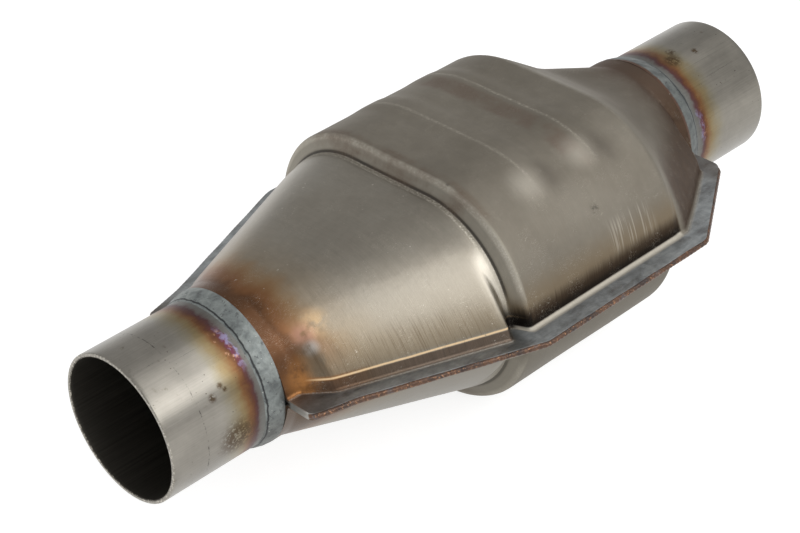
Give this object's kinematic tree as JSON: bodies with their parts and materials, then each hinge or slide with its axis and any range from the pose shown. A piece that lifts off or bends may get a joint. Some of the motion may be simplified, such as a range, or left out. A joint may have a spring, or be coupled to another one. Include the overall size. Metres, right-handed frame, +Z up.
{
  "type": "catalytic converter",
  "caption": "Clamshell exhaust converter: welded oval half shells around a mat-held ceramic brick, with a stub pipe at each end.",
  "frame": {"origin": "centre of the inlet pipe's mouth", "axes": "+X along the common axis of both pipes from the inlet mouth to the outlet mouth, +Z up, square to the split plane of the half shells"},
  "size_m": [0.3, 0.1456, 0.0904],
  "materials": {
    "shell_steel": "stamped stainless sheet, satin, heat tinted near the welds",
    "pipe_steel": "stainless tube, fine lengthwise brushing, heat tinted near the bead",
    "ring_bead": "dull oxidised weld bead",
    "seam_bead": "fused edge bead, brown heat tint",
    "honeycomb": "matte fired ceramic with thin square channels",
    "mineral_mat": "soft mineral fibre mat",
    "knitted_wire": "knitted stainless wire, compressed"
  },
  "bodies": {
    "root": {"upper_shell": "shell_steel", "lower_shell": "shell_steel", "inlet_pipe": "pipe_steel", "outlet_pipe": "pipe_steel", "inlet_weld": "ring_bead", "outlet_weld": "ring_bead", "seam_weld_left": "seam_bead", "seam_weld_right": "seam_bead", "catalyst_brick": "honeycomb", "support_mat": "mineral_mat", "inlet_mesh_ring": "knitted_wire", "outlet_mesh_ring": "knitted_wire"}
  },
  "joints": []
}
